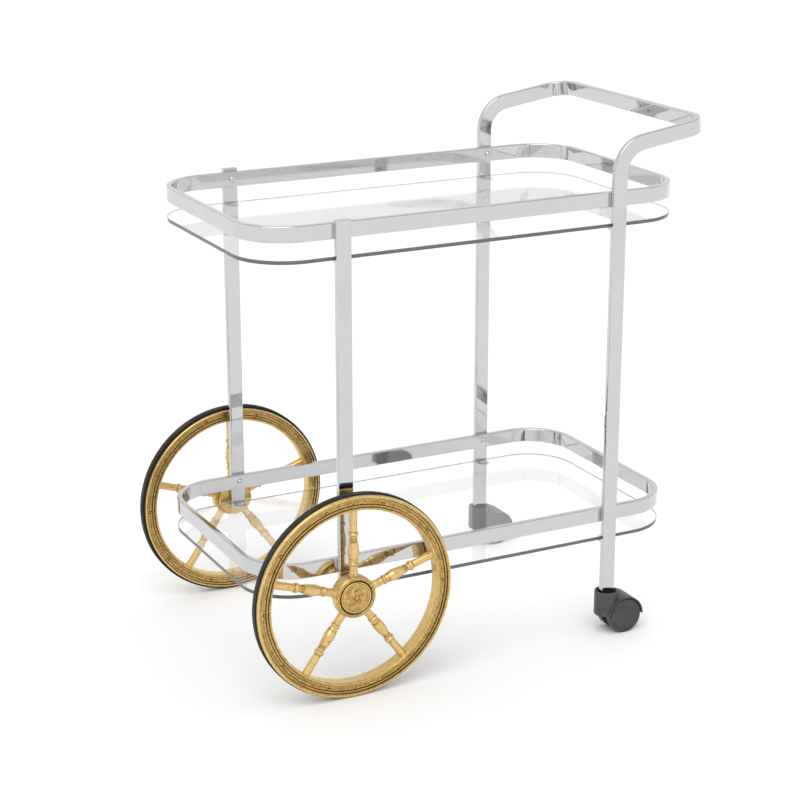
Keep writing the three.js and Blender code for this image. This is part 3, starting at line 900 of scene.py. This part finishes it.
def fill_handling_marks(nodes, given):
    """Faint wipe streaks and smudges: a rougher film in soft patches, and fine directional scratches."""
    place = given["Place"]
    smudge = nodes.ranged(nodes.noise(place, 14.0, 4.0, 0.6), 0.45, 0.75)
    along, slant = (220.0, 900.0, 160.0), (0.3, 0.5, 0.2)
    wipes = nodes.add("ShaderNodeMapping", Vector=place, Scale=along, Rotation=slant).outputs[0]
    streak = nodes.ranged(nodes.noise(wipes, 1.0, 2.0), 0.6, 0.72)
    film = nodes.math("MAXIMUM", nodes.math("MULTIPLY", smudge, 0.7), nodes.math("MULTIPLY", streak, 0.8))
    rough = nodes.math("ADD", nodes.math("MULTIPLY", film, given["Haze"]), given["Polish"])
    waves = nodes.noise(place, 38.0, 2.0)
    height = nodes.math("ADD", nodes.math("MULTIPLY", waves, 0.7), nodes.math("MULTIPLY", streak, -0.25))
    return {"Roughness": rough, "Height": height, "Film": film}


def fill_settled_dust(nodes, given):
    """Pale dust that gathers in soft patches, mostly on faces that look up."""
    normal = nodes.add("ShaderNodeNewGeometry").outputs["Normal"]
    up = nodes.add("ShaderNodeSeparateXYZ", Vector=normal).outputs["Z"]
    patches = nodes.ranged(nodes.noise(given["Place"], 60.0, 5.0, 0.65), 0.35, 0.75)
    lying = nodes.math("MULTIPLY", nodes.ranged(up, -0.2, 0.9, 0.25, 1.0), patches)
    mask = nodes.math("MULTIPLY", lying, given["Amount"])
    return {"Color": nodes.mixed(mask, given["Color"], given["Dust"]), "Mask": mask}


def fill_moulded_grain(nodes, given):
    """The fine pebbled skin of a plastic moulding."""
    node = nodes.add("ShaderNodeTexVoronoi", {"feature": "SMOOTH_F1"}, Vector=given["Place"], Smoothness=0.6)
    nodes.put(node.inputs["Scale"], given["Scale"])
    fine = nodes.noise(given["Place"], 2600.0, 2.0)
    height = nodes.math("ADD", node.outputs["Distance"], nodes.math("MULTIPLY", fine, 0.3))
    return {"Height": height}


def fill_aged_gilding(nodes, given):
    """Gold leaf on a turned ground: brown glaze in hollows and specks, bright rubbed leaf on crests, which
    also serves as a painted highlight there.
    """
    place = given["Place"]
    broken = nodes.noise(place, 130.0, 6.0, 0.7)
    fine = nodes.noise(place, 620.0, 4.0, 0.6)
    uneven = nodes.math("SUBTRACT", broken, 0.5)
    relief = nodes.math("ADD", given["Relief"], nodes.math("MULTIPLY", uneven, 0.16))
    hollow = nodes.ranged(relief, 0.56, 0.7)
    crest_wear_and_highlight = nodes.ranged(relief, 0.46, 0.32)
    cloud = nodes.ranged(nodes.noise(place, 60.0, 5.0, 0.65), 0.42, 0.66)
    flake = nodes.ranged(nodes.noise(place, 330.0, 4.0, 0.7), 0.46, 0.58)
    speck = nodes.ranged(fine, 0.6, 0.7)
    pits = nodes.ranged(nodes.noise(place, 240.0, 3.0, 0.7), 0.62, 0.7)
    stain = nodes.math("MULTIPLY", nodes.math("MAXIMUM", speck, pits), given["Specks"])
    worn = nodes.math("MAXIMUM", nodes.math("MULTIPLY", cloud, 0.5), nodes.math("MULTIPLY", flake, 0.7))
    leaf = nodes.mixed(worn, given["Leaf"], given["Deep_Leaf"])
    # crests take the brighter rubbed leaf: partly real wear, partly a painted highlight on convex edges and
    # beads
    leaf = nodes.mixed(nodes.math("MULTIPLY", crest_wear_and_highlight, 0.75), leaf, given["Rubbed"])
    leaf = nodes.mixed(stain, leaf, given["Glaze"])
    colour = nodes.mixed(nodes.math("MULTIPLY", hollow, 0.92), leaf, given["Glaze"])
    glazed = nodes.math("MAXIMUM", hollow, stain)
    rough = nodes.ranged(glazed, 0.0, 1.0, 0.32, 0.55)
    rough = nodes.math("ADD", rough, nodes.math("MULTIPLY", uneven, 0.2))
    dents = nodes.math("MULTIPLY", nodes.noise(place, 90.0, 3.0), 1.2)
    height = nodes.math("ADD", dents, nodes.math("MULTIPLY", broken, 0.8))
    height = nodes.math("SUBTRACT", height, nodes.math("MULTIPLY", stain, 0.25))
    metal = nodes.ranged(glazed, 0.0, 1.0, 0.9, 0.75)
    return {"Color": colour, "Roughness": rough, "Metallic": metal, "Height": height}


def make_groups():
    place = ("Place", VECTOR, None)
    return {
        "marks": group(
            "handling_marks",
            [place, ("Polish", NUMBER, 0.05), ("Haze", NUMBER, 0.06)],
            [("Roughness", NUMBER), ("Height", NUMBER), ("Film", NUMBER)],
            fill_handling_marks,
        ),
        "dust": group(
            "settled_dust",
            [place, ("Color", COLOUR, None), ("Dust", COLOUR, None), ("Amount", NUMBER, 0.3)],
            [("Color", COLOUR), ("Mask", NUMBER)],
            fill_settled_dust,
        ),
        "grain": group(
            "moulded_grain", [place, ("Scale", NUMBER, 900.0)], [("Height", NUMBER)], fill_moulded_grain
        ),
        "gilding": group(
            "aged_gilding",
            [
                place, ("Relief", NUMBER, 0.5), ("Leaf", COLOUR, None), ("Deep_Leaf", COLOUR, None),
                ("Rubbed", COLOUR, None), ("Glaze", COLOUR, None), ("Specks", NUMBER, 0.5),
            ],
            [("Color", COLOUR), ("Roughness", NUMBER), ("Metallic", NUMBER), ("Height", NUMBER)],
            fill_aged_gilding,
        ),
    }


def start_material(name, **plain):
    """A material with a Principled shader whose constant values are set on its own sockets."""
    material = bpy.data.materials.new(name)
    material.use_nodes = True
    nodes = Nodes(material.node_tree)
    shader = material.node_tree.nodes["Principled BSDF"]
    for key, value in plain.items():
        shader.inputs[key.replace("_", " ")].default_value = value
    place = nodes.add("ShaderNodeTexCoord").outputs["Object"]
    return material, nodes, shader, place


def use_group(nodes, tree, **values):
    node = nodes.add("ShaderNodeGroup")
    node.node_tree = tree
    for key, value in values.items():
        nodes.put(node.inputs[key], value)
    return node.outputs


def add_bump(nodes, shader, height, distance, strength=1.0):
    bump = nodes.add("ShaderNodeBump", Height=height, Distance=distance, Strength=strength)
    nodes.put(shader.inputs["Normal"], bump.outputs[0])


def make_plated(groups, name, tone, polish, haze):
    """Chrome or bright zinc plating under faint handling marks."""
    material, nodes, shader, place = start_material(name, Metallic=1.0, Specular_IOR_Level=0.5)
    marks = use_group(nodes, groups["marks"], Place=place, Polish=polish, Haze=haze)
    dull = tuple(c * 0.93 for c in tone)
    nodes.put(shader.inputs["Base Color"], nodes.mixed(marks["Film"], (*tone, 1), (*dull, 1)))
    nodes.put(shader.inputs["Roughness"], marks["Roughness"])
    add_bump(nodes, shader, marks["Height"], 0.00006, 0.35)
    return material


def make_glass(name, tint, groups, clearness=1.0):
    """Glass that lets lamps through, so that the shelves throw only a light shadow."""
    material, nodes, shader, place = start_material(
        name, Base_Color=(*tint, 1), Transmission_Weight=clearness, IOR=1.5, Metallic=0.0
    )
    marks = use_group(nodes, groups["marks"], Place=place, Polish=0.0, Haze=0.012)
    nodes.put(shader.inputs["Roughness"], marks["Roughness"])
    clear = nodes.add("ShaderNodeBsdfTransparent", Color=(*(0.5 + c / 2 for c in tint), 1))
    path = nodes.add("ShaderNodeLightPath")
    mix = nodes.add("ShaderNodeMixShader")
    nodes.put(mix.inputs[0], path.outputs["Is Shadow Ray"])
    nodes.put(mix.inputs[1], shader.outputs[0])
    nodes.put(mix.inputs[2], clear.outputs[0])
    output = next(n for n in material.node_tree.nodes if n.type == "OUTPUT_MATERIAL")
    nodes.put(output.inputs["Surface"], mix.outputs[0])
    return material


def make_gold(groups):
    """Antique gold leaf, whose glaze and whose rubbed leaf with its painted crest highlight follow the relief
    that each gilded piece stores.
    """
    material, nodes, shader, place = start_material("antique_gold_leaf", Specular_IOR_Level=0.5)
    relief = nodes.add("ShaderNodeAttribute", {"attribute_name": "relief"}).outputs["Fac"]
    aged = use_group(
        nodes, groups["gilding"], Place=place, Relief=relief, Specks=0.9, Leaf=(0.63, 0.415, 0.145, 1),
        # the Rubbed colour is brighter leaf for worn crests and also a painted highlight on them
        Deep_Leaf=(0.28, 0.155, 0.034, 1), Rubbed=(0.84, 0.60, 0.25, 1), Glaze=(0.035, 0.011, 0.002, 1),
    )
    nodes.put(shader.inputs["Base Color"], aged["Color"])
    nodes.put(shader.inputs["Roughness"], aged["Roughness"])
    nodes.put(shader.inputs["Metallic"], aged["Metallic"])
    add_bump(nodes, shader, aged["Height"], 0.0006, 0.7)
    return material


def make_dusty(groups, name, colour, dust, amount, rough, grain_scale, grain_depth):
    """Rubber or moulded plastic with a pebbled skin under a little dust."""
    material, nodes, shader, place = start_material(name, Roughness=rough, Specular_IOR_Level=0.4)
    dusty = use_group(nodes, groups["dust"], Place=place, Color=(*colour, 1), Dust=(*dust, 1), Amount=amount)
    grain = use_group(nodes, groups["grain"], Place=place, Scale=grain_scale)
    worn = nodes.ranged(nodes.noise(place, 35.0, 4.0), 0.3, 0.7, rough - 0.08, rough + 0.08)
    nodes.put(shader.inputs["Base Color"], dusty["Color"])
    nodes.put(shader.inputs["Roughness"], worn)
    add_bump(nodes, shader, grain["Height"], grain_depth, 0.5)
    return material


def make_bumper_silicone(groups):
    """Clear silicone, slightly milky and dull."""
    material, nodes, shader, place = start_material(
        "clear_silicone", Base_Color=(0.86, 0.88, 0.88, 1), Transmission_Weight=0.75, IOR=1.41, Metallic=0.0
    )
    marks = use_group(nodes, groups["marks"], Place=place, Polish=0.16, Haze=0.15)
    nodes.put(shader.inputs["Roughness"], marks["Roughness"])
    return material


def make_materials():
    """The materials of each of the record's slots."""
    groups = make_groups()
    dust = (0.42, 0.41, 0.39)
    return {
        "chrome": [make_plated(groups, "polished_chrome", (0.60, 0.60, 0.605), 0.03, 0.06)],
        "bright_steel": [make_plated(groups, "bright_plated_steel", (0.60, 0.60, 0.61), 0.12, 0.12)],
        "shelf_glass": [
            make_glass("clear_shelf_glass", (0.992, 0.998, 0.996), groups),
            make_glass("ground_glass_edge", (0.15, 0.182, 0.176), groups, clearness=0.3),
        ],
        "antique_gold": [make_gold(groups)],
        "wheel_rubber": [
            make_dusty(groups, "black_rubber", (0.006, 0.0055, 0.006), dust, 0.03, 0.6, 1500.0, 0.00008)
        ],
        "caster_plastic": [
            make_dusty(groups, "charcoal_moulding", (0.050, 0.050, 0.053), dust, 0.16, 0.46, 1100.0, 0.00006)
        ],
        "caster_tread": [
            make_dusty(groups, "charcoal_roller", (0.040, 0.040, 0.042), dust, 0.18, 0.5, 1300.0, 0.00006)
        ],
        "clear_bumper": [make_bumper_silicone(groups)],
    }


# ---- The studio ----------------------------------------------------------------------------------


def dark_reflection_patch(nodes, place, centre_point, radius):
    """A soft round patch on the floor, used for a painted dark reflection: 1 at its centre, 0 from the radius
    on.
    """
    distance = nodes.add("ShaderNodeVectorMath", {"operation": "DISTANCE"})
    nodes.put(distance.inputs[0], place)
    nodes.put(distance.inputs[1], centre_point)
    return nodes.ranged(distance.outputs["Value"], 0.15 * radius, radius, 1.0, 0.0)


def make_floor():
    """A pale floor with two soft grey patches that only reflections see: painted dark reflections, which line
    the chrome's edges.
    """
    bm = bmesh.new()
    bmesh.ops.create_grid(bm, x_segments=8, y_segments=8, size=200)
    mesh = bpy.data.meshes.new("studio_floor")
    bm.to_mesh(mesh)
    bm.free()
    material, nodes, shader, place = start_material("pale_floor", Roughness=0.7, Specular_IOR_Level=0.2)
    tone = nodes.mixed(nodes.noise(place, 1.4, 2.0), (0.885, 0.885, 0.887, 1), (0.9, 0.9, 0.902, 1))
    left = dark_reflection_patch(nodes, place, (-1.35, -0.65, 0), 0.75)
    right = dark_reflection_patch(nodes, place, (1.4, 0.75, 0), 0.8)
    glossy = nodes.add("ShaderNodeLightPath").outputs["Is Glossy Ray"]
    painted_dark_reflection = nodes.math("MULTIPLY", nodes.math("MAXIMUM", left, right), glossy)
    # painted reflection: in these patches the floor turns dark grey for glossy rays only, so the chrome shows
    # dark streaks along its edges
    nodes.put(shader.inputs["Base Color"], nodes.mixed(painted_dark_reflection, tone, (0.24, 0.24, 0.245, 1)))
    mesh.materials.append(material)
    floor = bpy.data.objects.new("studio_floor", mesh)
    bpy.context.scene.collection.objects.link(floor)


def make_world():
    """An even white studio; reflections see it fall off softly overhead and vary a little."""
    world = bpy.data.worlds.new("white_studio")
    bpy.context.scene.world = world
    world.use_nodes = True
    nodes = Nodes(world.node_tree)
    background = world.node_tree.nodes["Background"]
    direction = nodes.add("ShaderNodeTexCoord").outputs["Generated"]
    height = nodes.add("ShaderNodeSeparateXYZ", Vector=direction).outputs["Z"]
    shade = nodes.ranged(nodes.noise(direction, 1.9, 1.0), 0.38, 0.62, 0.62, 1.0)
    overhead = nodes.ranged(height, 0.3, 0.75)
    studio = nodes.mixed(overhead, (1.02, 1.02, 1.02, 1), shade)
    ray = nodes.add("ShaderNodeLightPath").outputs
    behind = nodes.mixed(ray["Is Camera Ray"], (1, 1, 1, 1), (1.15, 1.15, 1.15, 1))
    nodes.put(background.inputs["Color"], nodes.mixed(ray["Is Glossy Ray"], behind, studio))
    background.inputs["Strength"].default_value = 0.92


def make_sun():
    """One broad soft source for the whole floor, from the upper left behind the viewer."""
    light = bpy.data.lights.new("broad_sun", "SUN")
    light.energy = 1.25
    light.angle = math.radians(50)
    sun = bpy.data.objects.new("broad_sun", light)
    sun.rotation_euler = Vector((0.45, 0.5, -1)).to_track_quat("-Z", "Y").to_euler()
    bpy.context.scene.collection.objects.link(sun)


def make_camera():
    """Looks down on the left side from the wheel end's corner, 2.8 m off."""
    azimuth, pitch = math.radians(27.03), math.radians(17.74)
    distance = 2.843
    aim = Vector((-0.030, 0.0, 0.326))
    level = math.cos(pitch)
    forward = Vector((math.sin(azimuth) * level, math.cos(azimuth) * level, -math.sin(pitch)))
    camera = bpy.data.objects.new("camera", bpy.data.cameras.new("camera"))
    camera.data.lens = 91.1
    camera.location = aim - forward * distance
    camera.rotation_euler = forward.to_track_quat("-Z", "Y").to_euler()
    bpy.context.scene.collection.objects.link(camera)
    bpy.context.scene.camera = camera


def make_studio():
    make_floor()
    make_world()
    make_sun()
    make_camera()
    bpy.context.scene.view_settings.view_transform = "Standard"


# ---- The cart ------------------------------------------------------------------------------------

MATERIALS = make_materials()


def make_frame():
    make_handle_frame()
    for level in LEVELS:
        make_guard_rail(level)
        make_glass_shelf(level)
        for end in ENDS:
            for side in SIDES:
                make_shelf_tab(level, end, side)
                make_bumper(level, end, side)
                make_rail_screw(level, end, side)
    for side in SIDES:
        make_post(side)


def make_wheels():
    for side in SIDES:
        make_stub_axle(side)
        make_thrust_washer(side)
        make_lock_nut(side)
        make_tyre(side)
        make_rim(side)
        make_nails(side)
        make_hub(side)
        make_hub_cap(side)
        for number in range(1, 6):
            make_spoke(side, number)


def make_casters():
    for side in SIDES:
        make_swivel_pin(side)
        make_roller_pin(side)
        make_caster_body(side)
        for which in ("outer", "inner"):
            make_roller(side, which)


make_frame()
make_wheels()
make_casters()
make_studio()
